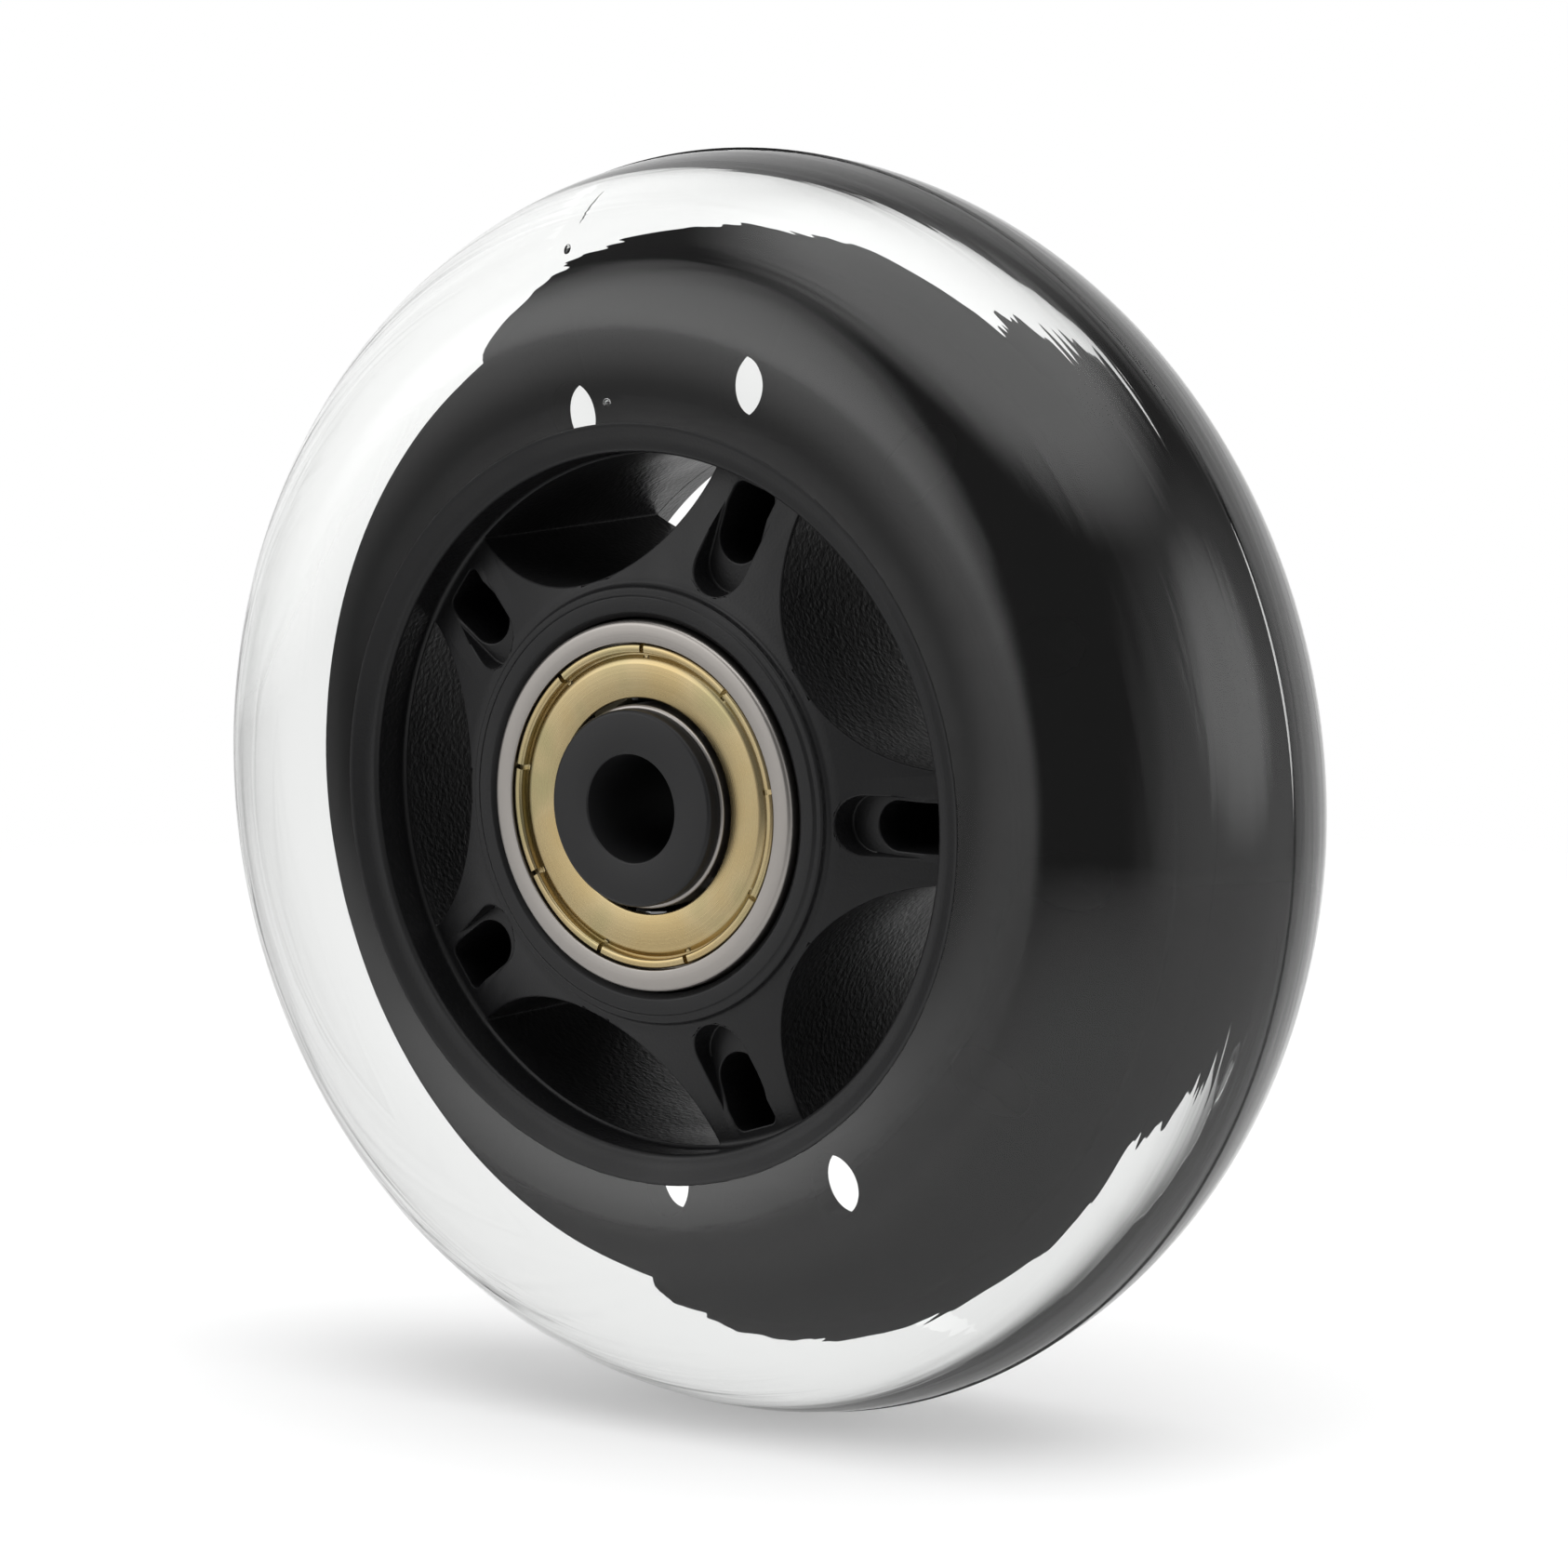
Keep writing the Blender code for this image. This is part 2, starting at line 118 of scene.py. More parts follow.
def turnPiece(name, corners, steps, smoothAngle=35):
    # a closed outline of (radius, out, rounding) in mm is spun round the wheel's axis
    deselectAll()
    bpy.ops.mesh.primitive_circle_add(vertices=len(corners), radius=0.01, fill_type="NOTHING")
    piece = named(name)
    for vertex, (radius, out, rounding) in zip(piece.data.vertices, corners):
        vertex.co = (radius * mm, -out * mm, 0)
    for rounding in sorted({corner[2] for corner in corners if corner[2]}):
        spots = [Vector((c[0], -c[1], 0)) * mm for c in corners if c[2] == rounding]
        selectWhere(piece, lambda v: any((v.co - spot).length < 1e-7 for spot in spots))
        bpy.ops.mesh.bevel(offset=rounding * mm, segments=5, affect="VERTICES")
        bpy.ops.object.mode_set(mode="OBJECT")
    pick(piece)
    bpy.ops.object.mode_set(mode="EDIT")
    bpy.ops.mesh.select_all(action="SELECT")
    bpy.ops.mesh.spin(steps=steps, angle=2 * math.pi, center=(0, 0, 0), axis=(0, 1, 0))
    return finishMesh(piece, smoothAngle)


def twoFaced(half):
    # the front half of an outline, followed by its mirror image
    return half + [(radius, -out, rounding) for radius, out, rounding in reversed(half)]


def copyRound(piece, count, start):
    # copies of a cutter, with their own meshes, at even angles round the Y axis, joined into one
    copies = []
    for index in range(count):
        copy = piece.copy()
        copy.data = piece.data.copy()
        turn = Matrix.Rotation(-(start + index * 2 * math.pi / count), 4, "Y")
        copy.matrix_world = turn @ piece.matrix_world
        scene.collection.objects.link(copy)
        copies.append(copy)
    bpy.data.objects.remove(piece, do_unlink=True)
    pick(*copies)
    bpy.ops.object.join()
    bpy.ops.object.transform_apply(location=True, rotation=True, scale=True)
    return bpy.context.object


def combine(piece, tool, operation):
    # cuts or joins with another mesh, which is then thrown away
    modifier = piece.modifiers.new(operation.lower(), "BOOLEAN")
    modifier.operation = operation
    modifier.object = tool
    pick(piece)
    bpy.ops.object.modifier_apply(modifier=modifier.name)
    bpy.data.objects.remove(tool, do_unlink=True)
    return piece


def addCylinder(radius, depth, place, sides):
    deselectAll()
    bpy.ops.mesh.primitive_cylinder_add(
        vertices=sides, radius=radius, depth=depth, location=place, rotation=(math.pi / 2, 0, 0)
    )
    return bpy.context.object


def addBlock(low, high):
    deselectAll()
    low, high = Vector(low), Vector(high)
    bpy.ops.mesh.primitive_cube_add(size=1, location=(low + high) / 2, scale=high - low)
    bpy.ops.object.transform_apply(location=True, rotation=True, scale=True)
    return bpy.context.object


def useMaterial(piece, *materials):
    piece.data.materials.clear()
    for material in materials:
        piece.data.materials.append(material)


# ---- materials ----

def linear(hexColour):
    parts = [int(hexColour[i:i + 2], 16) / 255 for i in (1, 3, 5)]
    return tuple(p / 12.92 if p <= 0.04045 else ((p + 0.055) / 1.055) ** 2.4 for p in parts) + (1.0,)


def addNode(tree, kind, settings=None, links=None):
    # settings are the node's own values or its sockets' values, by name; links feed its sockets
    node = tree.nodes.new("ShaderNode" + kind)
    for key, value in (settings or {}).items():
        if isinstance(key, int) or key in node.inputs:
            node.inputs[key].default_value = value
        else:
            setattr(node, key, value)
    for key, source in (links or {}).items():
        tree.links.new(source, node.inputs[key])
    return node


def startMaterial(name, values):
    material = bpy.data.materials.new(name)
    material.use_nodes = True
    tree = material.node_tree
    shader = tree.nodes["Principled BSDF"]
    for socket, value in values.items():
        shader.inputs[socket].default_value = value
    place = addNode(tree, "TexCoord").outputs["Object"]
    return material, tree, shader, place


def radiusOf(tree, place):
    # distance from the wheel's axis, in metres
    parts = addNode(tree, "SeparateXYZ", links={0: place})
    flat = addNode(tree, "CombineXYZ", links={0: parts.outputs[0], 2: parts.outputs[2]})
    return addNode(tree, "VectorMath", {"operation": "LENGTH"}, {0: flat.outputs[0]}).outputs["Value"]


def ringGrain(tree, place, pitch, depth):
    # fine rings round the axis, as a lathe or grinding wheel leaves; pitch and depth in mm
    radius = radiusOf(tree, place)
    parts = addNode(tree, "SeparateXYZ", links={0: place})
    spot = addNode(tree, "CombineXYZ", links={0: radius, 1: parts.outputs[1]})
    noise = addNode(
        tree, "TexNoise", {"Scale": 1 / (pitch * mm), "Detail": 3.0}, {"Vector": spot.outputs[0]}
    )
    bump = addNode(tree, "Bump", {"Strength": 1.0, "Distance": depth * mm}, {"Height": noise.outputs[0]})
    return noise.outputs[0], bump.outputs[0]


def clearUrethane():
    # cast polyurethane, poured clear into a turned mould: glossy, with faint flow rings on the tread
    material, tree, shader, place = startMaterial(
        "castClearPolyurethane",
        {"Base Color": linear("#f9faf9"), "Transmission Weight": 1.0, "IOR": 1.5, "Roughness": 0.02},
    )
    parts = addNode(tree, "SeparateXYZ", links={0: place})
    flat = addNode(tree, "CombineXYZ", links={0: parts.outputs[0], 2: parts.outputs[2]})
    around = addNode(tree, "VectorMath", {"operation": "NORMALIZE"}, {0: flat.outputs[0]})
    across = addNode(tree, "Math", {"operation": "MULTIPLY", 1: 1 / (1.6 * mm)}, {0: parts.outputs[1]})
    along = addNode(tree, "VectorMath", {"operation": "SCALE", "Scale": 1.3}, {0: around.outputs[0]})
    lift = addNode(tree, "CombineXYZ", links={1: across.outputs[0]})
    spot = addNode(tree, "VectorMath", {"operation": "ADD"}, {0: along.outputs[0], 1: lift.outputs[0]})
    streaks = addNode(
        tree, "TexNoise", {"Scale": 1.0, "Detail": 2.0, "Distortion": 0.8}, {"Vector": spot.outputs[0]}
    )
    waves = addNode(tree, "TexNoise", {"Scale": 1 / (7 * mm), "Detail": 1.0}, {"Vector": place})
    broad = addNode(tree, "Bump", {"Strength": 1.0, "Distance": 0.02 * mm}, {"Height": waves.outputs[0]})
    bump = addNode(
        tree, "Bump", {"Strength": 1.0, "Distance": 0.05 * mm},
        {"Height": streaks.outputs[0], "Normal": broad.outputs[0]},
    )
    tree.links.new(bump.outputs[0], shader.inputs["Normal"])
    return material


def mouldedNylon(name, colour, grain, depth):
    # glass-filled nylon from a spark-eroded mould: a fine matte grain that catches light on the walls
    material, tree, shader, place = startMaterial(
        name, {"Base Color": linear(colour), "IOR": 1.53, "Specular IOR Level": 0.22}
    )
    fine = addNode(tree, "TexNoise", {"Scale": 1 / (grain * mm), "Detail": 2.0}, {"Vector": place})
    patches = addNode(tree, "TexNoise", {"Scale": 1 / (7 * mm), "Detail": 3.0}, {"Vector": place})
    bump = addNode(tree, "Bump", {"Strength": 1.0, "Distance": depth * mm}, {"Height": fine.outputs[0]})
    shine = addNode(
        tree, "MapRange", {"From Min": 0.35, "From Max": 0.65, "To Min": 0.36, "To Max": 0.48},
        {"Value": patches.outputs[0]},
    )
    tree.links.new(bump.outputs[0], shader.inputs["Normal"])
    tree.links.new(shine.outputs[0], shader.inputs["Roughness"])
    return material


def bondedNylon():
    # the same nylon where the urethane wets it: no gloss of its own, so it is deep black
    material, tree, shader, place = startMaterial(
        "bondedNylon", {"Specular IOR Level": 0.0, "Roughness": 0.8}
    )
    patches = addNode(tree, "TexNoise", {"Scale": 1 / (5 * mm), "Detail": 4.0}, {"Vector": place})
    tone = addNode(
        tree, "Mix", {"data_type": "RGBA", 6: linear("#040404"), 7: linear("#070707")},
        {0: patches.outputs[0]},
    )
    tree.links.new(tone.outputs[2], shader.inputs["Base Color"])
    return material


def groundSteel(name, colour, roughness, pitch, depth):
    # bearing steel, ground and tumbled: a soft grey metal with rings too fine to count
    material, tree, shader, place = startMaterial(name, {"Base Color": linear(colour), "Metallic": 1.0})
    grain, normal = ringGrain(tree, place, pitch, depth)
    shine = addNode(
        tree, "MapRange", {"To Min": roughness * 0.8, "To Max": roughness * 1.2}, {"Value": grain}
    )
    tree.links.new(normal, shader.inputs["Normal"])
    tree.links.new(shine.outputs[0], shader.inputs["Roughness"])
    return material


def zincChromate():
    # pressed steel with yellow passivated zinc plate: gold, drifting to green and rose
    material, tree, shader, place = startMaterial("yellowZincPlate", {"Metallic": 1.0})
    drift = addNode(tree, "TexNoise", {"Scale": 1 / (5 * mm), "Detail": 2.0}, {"Vector": place})
    ramp = addNode(tree, "ValToRGB", links={0: drift.outputs[0]})
    stops = ramp.color_ramp.elements
    stops[0].position, stops[0].color = 0.36, linear("#968c68")
    stops[1].position, stops[1].color = 0.66, linear("#a39068")
    middle = stops.new(0.5)
    middle.color = linear("#a49470")
    grain, normal = ringGrain(tree, place, 0.12, 0.002)
    shine = addNode(tree, "MapRange", {"To Min": 0.2, "To Max": 0.34}, {"Value": grain})
    tree.links.new(ramp.outputs[0], shader.inputs["Base Color"])
    tree.links.new(normal, shader.inputs["Normal"])
    tree.links.new(shine.outputs[0], shader.inputs["Roughness"])
    return material


urethane = clearUrethane()
hubNylon = mouldedNylon("mouldedBlackNylon", "#141415", 0.16, 0.012)
# walls of the windows and slots: a coarser spark-eroded grain, and a darker base colour than the faces that
# is painted shade for the recesses
wallNylonPaintedShade = mouldedNylon("sparkErodedNylonPaintedShade", "#111112", 0.32, 0.05)
hiddenNylon = bondedNylon()
bushingNylon = mouldedNylon("bushingNylon", "#1a1a1b", 0.1, 0.006)
ringSteel = groundSteel("groundBearingSteel", "#8e8a86", 0.34, 0.09, 0.003)
ballSteel = groundSteel("polishedBallSteel", "#d0d0d2", 0.08, 0.3, 0.0005)
zincPlate = zincChromate()
cageNylon = mouldedNylon("naturalCageNylon", "#cfc5a8", 0.1, 0.006)
spacerAlloy = groundSteel("turnedAluminium", "#d8d9db", 0.3, 0.12, 0.004)
print("materials made")


# ---- tyre ----

tyreShape = {
    "innerRadius": 22.5,     # inside the hub's rim wall, which the urethane is cast round
    "widest": 28.06,
    "tread": 1.776,          # exponent of the superellipse from the widest ring to the tread
    "side": 2.382,           # exponent and length of the gentler fall back to the lip
    "sideLength": 15.46,
    "embed": 0.1,            # how far the casting reaches into the flange's skin
    "flangeRadius": 29.8,
    "flangeHalf": 1.5,
    "plugRadius": 1.6,
    "plugCircle": 24.8,
    "plugCount": 12,
    "plugStart": 23.5,
    "partingHeight": 0.09,   # flash left where the two halves of the mould meet
    "partingHalf": 0.16,
    "partingTop": 0.05,
    "voids": [               # place, radii and turn of the gate's flaw and two air bubbles
        ((-8.6, -3.8, 32.9), (0.05, 0.4, 1.7), (0.25, 0.35, 0)),
        ((-9.1, -4.7, 30.4), (0.22, 0.22, 0.26), (0, 0, 0)),
        ((-3.3, -10.2, 23.6), (0.3, 0.3, 0.3), (0, 0, 0)),
    ],
    "steps": 256,
    "sidePoints": 12,
    "treadPoints": 44,
}


def sectionOut(radius):
    # half width of the tyre at a radius, both in mm
    s = tyreShape
    if radius < s["widest"]:
        fall, power = (s["widest"] - radius) / s["sideLength"], s["side"]
    else:
        fall, power = (radius - s["widest"]) / (tyreRadius / mm - s["widest"]), s["tread"]
    return halfWidth / mm * (1 - fall ** power) ** (1 / power)


def tyreSection():
    # half of the section, from the flange's edge in to the rim, up to the lip and out to the tread
    s = tyreShape
    width = halfWidth / mm
    pocket = s["flangeHalf"] - s["embed"]
    half = [
        (s["flangeRadius"] - s["embed"], pocket, 0),
        (s["innerRadius"], pocket, 0),
    ]
    for index in range(s["sidePoints"]):
        radius = s["widest"] - (s["widest"] - s["innerRadius"]) * (1 - index / s["sidePoints"])
        half.append((radius, sectionOut(radius), 0))
    power = 2 / s["tread"]
    depth = tyreRadius / mm - s["widest"]
    for index in range(s["treadPoints"]):
        angle = math.pi / 2 * index / s["treadPoints"]
        radius = s["widest"] + depth * math.sin(angle) ** power
        half.append((radius, width * math.cos(angle) ** power, 0))
    return [corner for corner in half if corner[1] > 0.2 or corner[0] < s["widest"]]


def addEgg(place, radii, turn):
    # a small ball drawn out along its own axes; place and radii in mm
    deselectAll()
    bpy.ops.mesh.primitive_uv_sphere_add(
        segments=24, ring_count=14, radius=mm, location=[p * mm for p in place], rotation=turn, scale=radii
    )
    bpy.ops.object.transform_apply(location=True, rotation=True, scale=True)
    bpy.ops.object.shade_smooth()
    return bpy.context.object


def makeTyre():
    s = tyreShape
    half = tyreSection()
    crown = tyreRadius / mm
    front = half + [
        (crown - 0.003, s["partingHalf"], 0),
        (crown + s["partingHeight"], s["partingTop"], 0),
    ]
    rear = [(radius, -out, rounding) for radius, out, rounding in reversed(front)]
    tyre = turnPiece("castTyre", front + rear, s["steps"])
    pocket = s["flangeHalf"] - s["embed"]
    plug = addCylinder(
        (s["plugRadius"] + s["embed"]) * mm, 2 * (pocket + 0.6) * mm, (s["plugCircle"] * mm, 0, 0), 32
    )
    plugs = copyRound(plug, s["plugCount"], math.radians(s["plugStart"]))
    combine(tyre, plugs, "UNION")
    finishMesh(tyre)
    useMaterial(tyre, urethane)
    # air left in the casting: closed shells whose faces point into the hollow
    voids = [addEgg(*void) for void in s["voids"]]
    for void in voids:
        useMaterial(void, urethane)
        selectWhere(void, lambda face: True, "FACE")
        bpy.ops.mesh.flip_normals()
        bpy.ops.object.mode_set(mode="OBJECT")
    pick(*voids, tyre)
    bpy.ops.object.join()
    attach(tyre, "wheel")
    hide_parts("tyre")


makeTyre()
print("tyre made")


# ---- hub ----

hubShape = {
    "shoulderRadius": 9.3,
    "seatRadius": 11.15,
    "seatChamfer": 0.35,
    "bossRadius": 12.9,
    "bossOut": 11.7,
    "armOut": 11.0,
    "armRadius": 13.6,       # where the windows come closest to the bearing
    "armOutAtRim": 8.4,
    "rimRadius": 20.8,
    "rimWall": 1.8,
    "lipOut": 11.1,
    "sealStep": 0.03,        # how far the rim's edge stands above the urethane poured against it
    "flangeHalf": 1.5,
    "armCount": 5,
    "armHalfWidth": 3.3,
    "windowCorner": 0.7,
    "slotStart": 13.4,
    "slotEnd": 20.2,
    "slotHalfWidth": 1.75,
    "slotDepth": 1.8,
    "ledge": 1.9,
    "ledgeSide": 0.28,
    "web": 1.5,
    "edge": 0.1,             # rounding left on moulded edges
    "steps": 240,
}


def slotCutter(start, end, side, low, high, corner):
    # a block whose inner end is rounded off to a half circle
    block = addBlock((start * mm, low * mm, -side * mm), (end * mm, high * mm, side * mm))
    for place, rounding in ((start, side * 0.999), (end, corner)):
        selectWhere(
            block,
            lambda e: all(abs(block.data.vertices[v].co.x - place * mm) < 1e-6 for v in e.vertices)
            and abs(block.data.vertices[e.vertices[0]].co.z - block.data.vertices[e.vertices[1]].co.z) < 1e-6,
            "EDGE",
        )
        bpy.ops.mesh.bevel(offset=rounding * mm, segments=10, affect="EDGES")
        bpy.ops.object.mode_set(mode="OBJECT")
    return block


def makeHub():
    s = hubShape
    face = bearingFace / mm
    floor = face - bearingWidth / mm - 0.1
    sealOut = sectionOut(s["rimRadius"] + s["rimWall"]) + s["sealStep"]
    hub = turnPiece("hubMoulding", twoFaced([
        (s["shoulderRadius"], floor, 0.2),
        (s["seatRadius"], floor, 0),
        (s["seatRadius"], s["bossOut"] - s["seatChamfer"], 0),
        (s["seatRadius"] + s["seatChamfer"], s["bossOut"], 0.08),
        (s["bossRadius"] - 0.5, s["bossOut"], 0.1),
        (s["bossRadius"] - 0.45, s["bossOut"] - 0.12, 0),
        (s["bossRadius"], s["bossOut"] - 0.14, 0.1),
        (s["bossRadius"] + 0.15, s["armOut"] + 0.06, 0.2),
        (s["armRadius"], s["armOut"], 0.3),
        (s["rimRadius"], s["armOutAtRim"], 0.5),
        (s["rimRadius"], s["lipOut"], 0.3),
        (s["rimRadius"] + 0.7, s["lipOut"] + 0.06, 0.3),
        (s["rimRadius"] + s["rimWall"] - 0.2, sealOut, 0.12),
        (s["rimRadius"] + s["rimWall"], sealOut, 0),
        (s["rimRadius"] + s["rimWall"], s["flangeHalf"], 0.5),
        (tyreShape["flangeRadius"], s["flangeHalf"], 0.25),
    ]), s["steps"])
    reach = 2 * (face + 2) * mm
    rim = s["rimRadius"] - 0.2
    pitch = 2 * math.pi / s["armCount"]
    corner = pitch / 2 - math.asin(s["armHalfWidth"] / rim)
    tip = Vector((rim * math.cos(corner), rim * math.sin(corner)))
    centre = (tip.length_squared - s["armRadius"] ** 2) / (2 * (tip.x - s["armRadius"]))
    scallop = addCylinder((centre - s["armRadius"]) * mm, reach, (centre * mm, 0, 0), 128)
    window = combine(scallop, addCylinder(rim * mm, reach * 1.2, (0, 0, 0), s["steps"]), "INTERSECT")
    pick(window)
    bpy.ops.object.transform_apply(location=True, rotation=True, scale=True)
    points = window.data.vertices
    selectWhere(
        window,
        lambda e: all((Vector((points[v].co.x, abs(points[v].co.z))) - tip * mm).length < 0.1 * mm
                      for v in e.vertices)
        and abs(points[e.vertices[0]].co.y - points[e.vertices[1]].co.y) > 1 * mm,
        "EDGE",
    )
    bpy.ops.mesh.bevel(offset=s["windowCorner"] * mm, segments=6, affect="EDGES")
    combine(hub, copyRound(window, s["armCount"], pitch / 2), "DIFFERENCE")
    slotFloor = s["armOut"] - s["slotDepth"]
    beyond = face + 2
    for side in (-1, 1):
        for start, end, half, floor, corner in (
            (s["slotStart"], s["slotEnd"], s["slotHalfWidth"], slotFloor, 0.3),
            (s["slotStart"] + s["ledge"], s["slotEnd"] - s["ledgeSide"],
             s["slotHalfWidth"] - s["ledgeSide"], s["web"], 0.5),
        ):
            low, high = sorted((side * floor, side * beyond))
            cutter = slotCutter(start, end, half, low, high, corner)
            combine(hub, copyRound(cutter, s["armCount"], 0), "DIFFERENCE")
    t = tyreShape
    hole = addCylinder(t["plugRadius"] * mm, 6 * t["flangeHalf"] * mm, (t["plugCircle"] * mm, 0, 0), 40)
    combine(hub, copyRound(hole, t["plugCount"], math.radians(t["plugStart"])), "DIFFERENCE")
    finishMesh(hub)
    bevel = hub.modifiers.new("edges", "BEVEL")
    bevel.width = s["edge"] * mm
    bevel.segments = 2
    bevel.limit_method = "ANGLE"
    bevel.angle_limit = math.radians(50)
    bevel.use_clamp_overlap = False
    pick(hub)
    bpy.ops.object.modifier_apply(modifier="edges")
    bpy.ops.object.shade_smooth_by_angle(angle=math.radians(30))
    useMaterial(hub, hubNylon, wallNylonPaintedShade, hiddenNylon)
    rimOut = (s["rimRadius"] + s["rimWall"] - 0.05) * mm
    for polygon in hub.data.polygons:
        middle = polygon.center
        radius = math.hypot(middle.x, middle.z)
        if radius > rimOut and (abs(middle.y) < (s["lipOut"] - 0.3) * mm or abs(polygon.normal.y) < 0.5):
            polygon.material_index = 2
        # upright walls inside the windows and slots take the darker nylon, whose colour is painted shade in
        # the recesses
        elif abs(polygon.normal.y) < 0.3 and radius < rimOut - 0.5 * mm and radius > s["bossRadius"] * mm:
            polygon.material_index = 1
    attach(hub, "wheel")
    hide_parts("hub")


makeHub()
print("hub made")


# ---- bearings ----

bearingShape = {
    "rebate": 9.7,
    "rebateDepth": 0.9,
    "corner": 0.3,
    "outerLand": 8.85,
    "innerLand": 6.05,
    "bore": 4.0,
    "pitch": 7.5,
    "groove": 2.1,
    "steps": 192,
}

shieldShape = {
    "hole": 6.4,
    "plateOut": 3.22,
    "thickness": 0.28,
    "ridge": 8.6,
    "valley": 8.95,
    "valleyOut": 2.92,
    "lip": 9.08,
    "lipOut": 3.42,
    "rim": 9.62,
    "notchWidth": 0.3,
    "notchCount": 9,
    "notchStart": 10,
}


def outerRing(name):
    s = bearingShape
    half = bearingWidth / mm / 2
    spread = math.acos((s["outerLand"] - s["pitch"]) / s["groove"])
    groove = []
    for index in range(13):
        angle = -spread + 2 * spread * index / 12
        groove.append((s["pitch"] + s["groove"] * math.cos(angle), s["groove"] * math.sin(angle), 0))
    return turnPiece(name, groove + twoFaced([
        (s["outerLand"], half - s["rebateDepth"], 0),
        (s["rebate"], half - s["rebateDepth"], 0),
        (s["rebate"], half, 0.08),
        (bearingRadius / mm, half, s["corner"]),
    ]), s["steps"])


def innerRing(name):
    s = bearingShape
    half = bearingWidth / mm / 2
    spread = math.acos((s["pitch"] - s["innerLand"]) / s["groove"])
    groove = []
    for index in range(13):
        angle = math.pi + spread - 2 * spread * index / 12
        groove.append((s["pitch"] + s["groove"] * math.cos(angle), s["groove"] * math.sin(angle), 0))
    return turnPiece(name, groove + twoFaced([
        (s["innerLand"], half, 0.2),
        (s["bore"], half, 0.25),
    ]), s["steps"])


def pressedShield(name, notched):
    s = shieldShape
    back = s["plateOut"] - s["thickness"]
    shield = turnPiece(name, [
        (s["hole"], back, 0.1),
        (s["valley"] - 0.15, back - 0.2, 0),
        (s["valley"], s["valleyOut"] - s["thickness"], 0),
        (s["rim"], s["valleyOut"] - s["thickness"], 0),
        (s["rim"], s["lipOut"], 0.2),
        (s["lip"], s["lipOut"], 0.16),
        (s["lip"] - 0.05, s["valleyOut"], 0),
        (s["valley"], s["valleyOut"], 0),
        (s["ridge"], s["plateOut"], 0.2),
        (s["hole"], s["plateOut"], 0.1),
    ], bearingShape["steps"])
    if notched:
        notch = addBlock(
            ((s["lip"] - 0.3) * mm, -(s["lipOut"] + 0.3) * mm, -s["notchWidth"] / 2 * mm),
            ((s["rim"] + 0.2) * mm, -(s["valleyOut"] + 0.02) * mm, s["notchWidth"] / 2 * mm),
        )
        combine(shield, copyRound(notch, s["notchCount"], math.radians(s["notchStart"])), "DIFFERENCE")
        finishMesh(shield)
    return shield


def seat(piece, node, body, material, out, turn):
    # a bearing's piece is made round the origin, then moved along the axis and faced outwards
    pick(piece)
    piece.matrix_world = Matrix.Translation((0, out, 0)) @ Matrix.Rotation(turn, 4, "Z")
    bpy.ops.object.transform_apply(location=True, rotation=True, scale=True)
    useMaterial(piece, material)
    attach(piece, body)
    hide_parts(node)


def makeBearing(side, direction):
    middle = direction * (bearingFace - bearingWidth / 2)
    turn = 0 if direction < 0 else math.pi
    seat(outerRing(side + "OuterRing"), side + "_outer_ring", "wheel",
         ringSteel, middle, turn)
    seat(innerRing(side + "InnerRing"), side + "_inner_ring", "axle_set",
         ringSteel, middle, turn)
    seat(pressedShield(side + "OuterShield", True), side + "_outer_shield", "wheel",
         zincPlate, middle, turn)
    seat(pressedShield(side + "InnerShield", False), side + "_inner_shield", "wheel",
         zincPlate, middle, turn + math.pi)


bushingShape = {
    "bore": 3.2,
    "boreChamfer": 0.12,
    "shank": 3.95,
    "flange": 5.85,
    "flangeEdge": 0.25,
    "gap": 0.15,
    "steps": 128,
}


def makeBushing(side, direction):
    s = bushingShape
    front = bushingFace / mm
    bushing = turnPiece(side + "Bushing", [
        (s["bore"], s["gap"], 0),
        (s["shank"], s["gap"], 0.1),
        (s["shank"], bearingFace / mm + 0.02, 0),
        (s["flange"], bearingFace / mm + 0.02, 0.08),
        (s["flange"], front, s["flangeEdge"]),
        (s["bore"], front, s["boreChamfer"]),
    ], s["steps"])
    turn = 0 if direction < 0 else math.pi
    seat(bushing, side + "_bushing", "axle_set", bushingNylon, 0, turn)


for side, direction in (("front", -1), ("rear", 1)):
    makeBearing(side, direction)
    makeBushing(side, direction)
print("bearings and bushings made")


# ---- CAD pieces that keep their shape ----

keptFinish = {"ball_cage": cageNylon, "_ball_": ballSteel, "spacer": spacerAlloy}
for name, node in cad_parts.items():
    for mark, material in keptFinish.items():
        if mark in name:
            useMaterial(node, material)
            break


# ---- studio ----

studio = {
    "viewTurn": 36.9,        # degrees round the wheel, from straight in front
    "viewRise": 8.0,
    "distance": 0.4845,
    "lens": 185.6,
    "aimRight": 1.24,
    "roomLight": 0.24,
    "floorRadius": 0.25,
    "floorColour": "#d2d2d2",
    "floorGlow": 0.32,
    "fadeStart": 0.07,       # where the table top begins to thin out, in metres from the middle
    "fadeEnd": 0.24,
    "keyPower": 0.3,
    "keyPlace": (0.25, -0.35, 0.7),
    "keySize": 0.6,
}


def makeCamera():
    turn, rise = math.radians(studio["viewTurn"]), math.radians(studio["viewRise"])
    back = Vector((math.sin(turn) * math.cos(rise), -math.cos(turn) * math.cos(rise), math.sin(rise)))
    right = Vector((math.cos(turn), math.sin(turn), 0))
    aim = right * studio["aimRight"] * mm
    deselectAll()
    bpy.ops.object.camera_add(location=back * studio["distance"])
    camera = bpy.context.object
    camera.rotation_euler = (camera.location - aim).to_track_quat("Z", "Y").to_euler()
    camera.data.lens = studio["lens"]
    camera.data.clip_start = 0.01
    scene.camera = camera


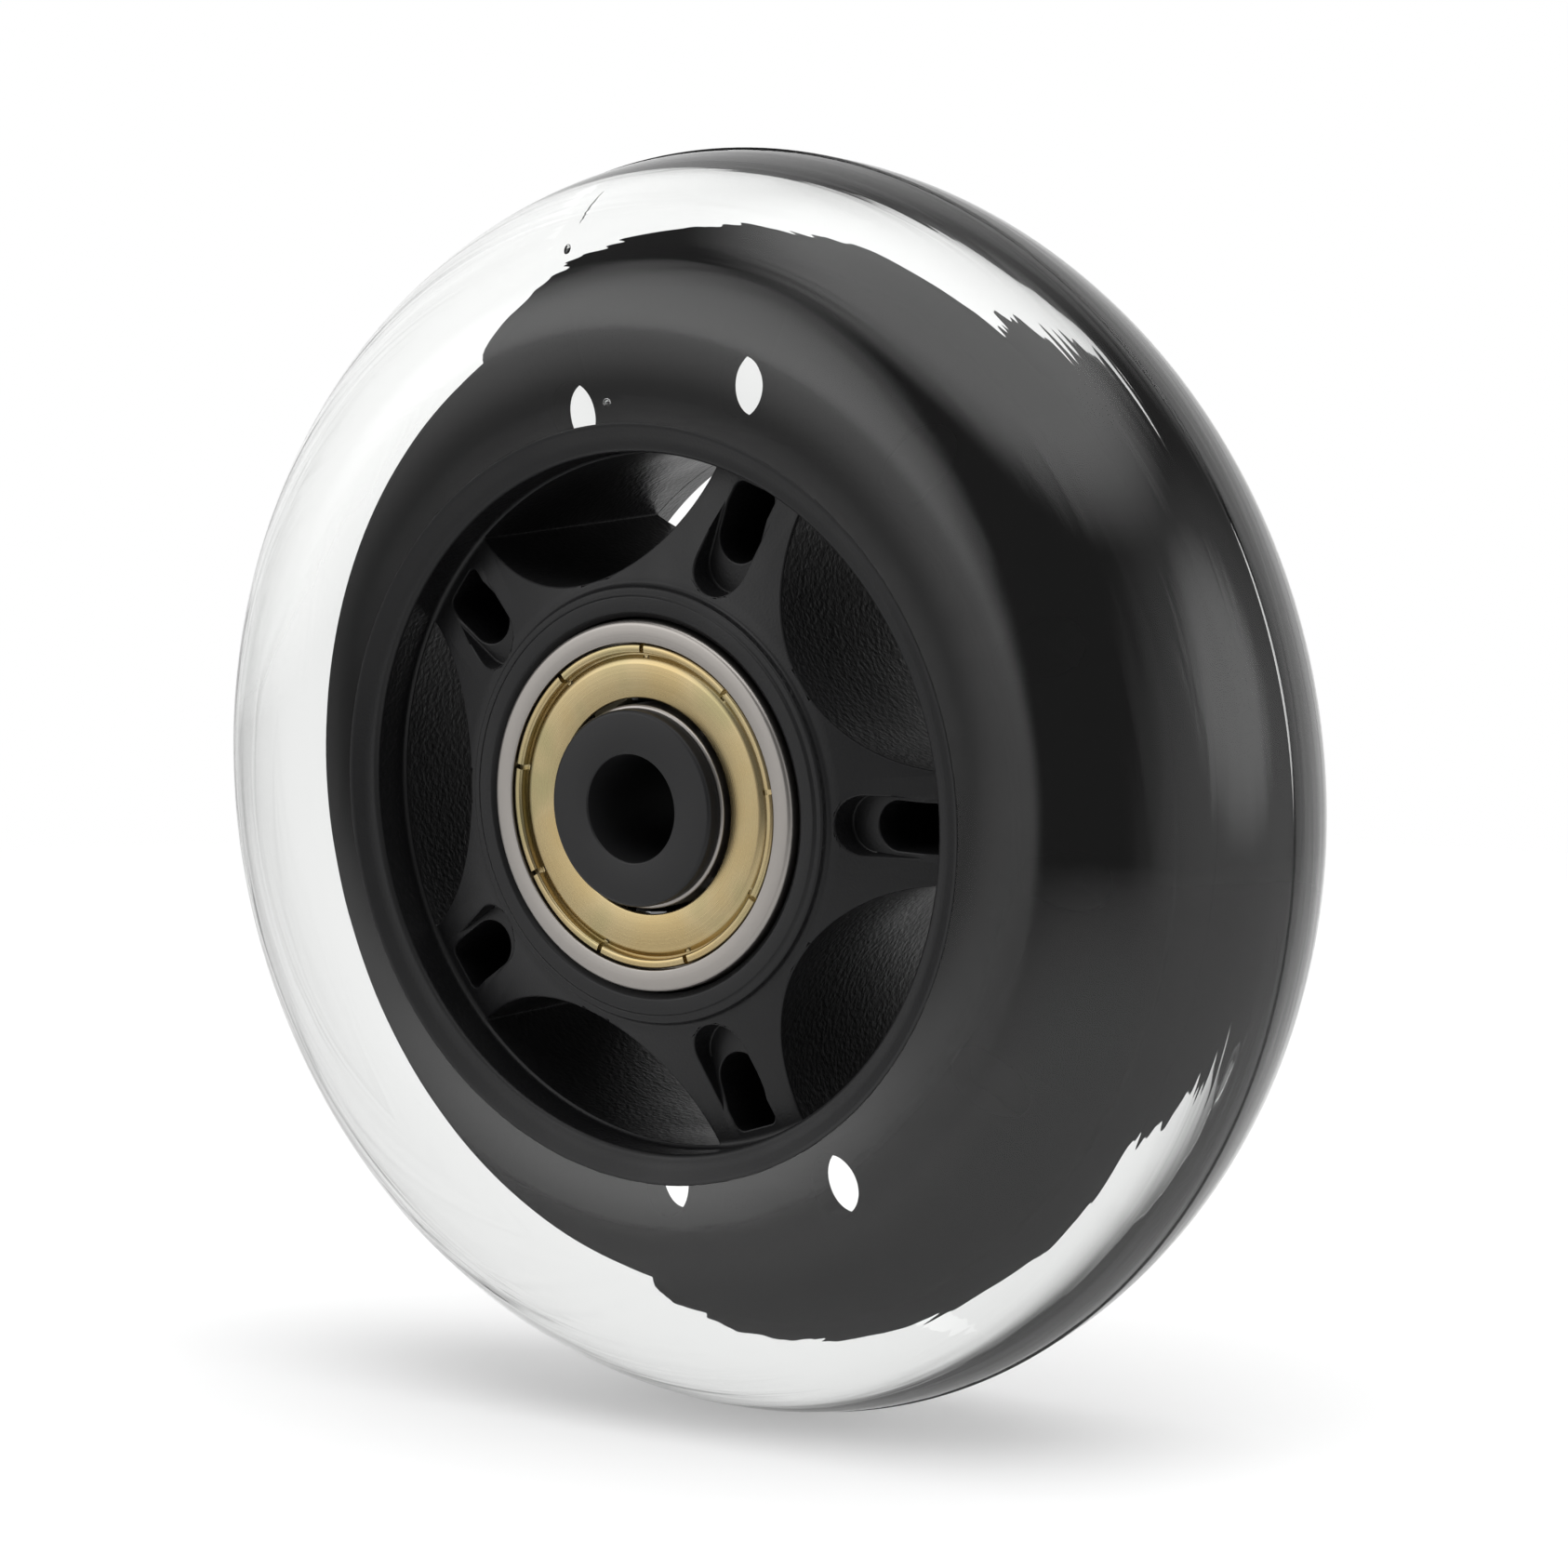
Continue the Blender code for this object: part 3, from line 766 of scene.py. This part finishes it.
def makeFloor():
    # a plain white table top, lit evenly, that thins out before its edge so that it has no horizon
    deselectAll()
    bpy.ops.mesh.primitive_circle_add(
        vertices=96, radius=studio["floorRadius"], fill_type="NGON", location=(0, 0, cadBounds[0].z)
    )
    floor = named("floor")
    material, tree, shader, place = startMaterial("whiteTableTop", {
        "Base Color": linear(studio["floorColour"]),
        "Roughness": 0.9,
        "Specular IOR Level": 0.0,
        "Emission Color": (1, 1, 1, 1),
        "Emission Strength": studio["floorGlow"],
    })
    reach = addNode(tree, "VectorMath", {"operation": "LENGTH"}, {0: place})
    fade = addNode(
        tree, "MapRange",
        {"From Min": studio["fadeStart"], "From Max": studio["fadeEnd"], "To Min": 1.0, "To Max": 0.0},
        {"Value": reach.outputs["Value"]},
    )
    tree.links.new(fade.outputs[0], shader.inputs["Alpha"])
    useMaterial(floor, material)


def makeSky():
    # panels overhead, to the right, to the left front and behind, and a dark room in front.
    # each panel has a direction as turn and rise, full and zero angles from it, and its strength
    panels = [
        (60, 80, 22, 45, 2.3),
        (106, 14, 6, 26, 1.5),
        (104, -5, 10, 60, 0.9),
        (-36, 20, 5, 34, 2.3),
        (-45, 0, 8, 34, 0.3),
        (205, 4, 42, 62, 0.68),
    ]
    world = bpy.data.worlds.new("studioTent")
    world.use_nodes = True
    scene.world = world
    tree = world.node_tree
    way = addNode(tree, "TexCoord").outputs["Generated"]
    total = addNode(tree, "Value")
    total.outputs[0].default_value = studio["roomLight"]
    for turn, rise, full, none, strength in panels:
        turn, rise = math.radians(turn), math.radians(rise)
        middle = (math.sin(turn) * math.cos(rise), -math.cos(turn) * math.cos(rise), math.sin(rise))
        near = addNode(tree, "VectorMath", {"operation": "DOT_PRODUCT", 1: middle}, {0: way})
        glow = addNode(
            tree, "MapRange",
            {"interpolation_type": "SMOOTHSTEP", "From Min": math.cos(math.radians(none)),
             "From Max": math.cos(math.radians(full)), "To Max": strength},
            {"Value": near.outputs["Value"]},
        )
        total = addNode(tree, "Math", {"operation": "ADD"}, {0: total.outputs[0], 1: glow.outputs[0]})
    ray = addNode(tree, "LightPath")
    seen = addNode(
        tree, "Mix", {"data_type": "FLOAT", 3: 1.0},
        {0: ray.outputs["Is Camera Ray"], 2: total.outputs[0]},
    )
    background = tree.nodes["Background"]
    background.inputs["Color"].default_value = (1, 1, 1, 1)
    tree.links.new(seen.outputs[0], background.inputs["Strength"])


def makeLights():
    # a large soft lamp above and in front; it lights the matt pieces and the table, not the gloss
    deselectAll()
    bpy.ops.object.light_add(type="AREA", location=studio["keyPlace"])
    lamp = bpy.context.object
    lamp.rotation_euler = lamp.location.to_track_quat("Z", "Y").to_euler()
    lamp.data.size = studio["keySize"]
    lamp.data.energy = studio["keyPower"]
    lamp.visible_glossy = False


makeCamera()
makeFloor()
makeSky()
makeLights()
print("studio made")
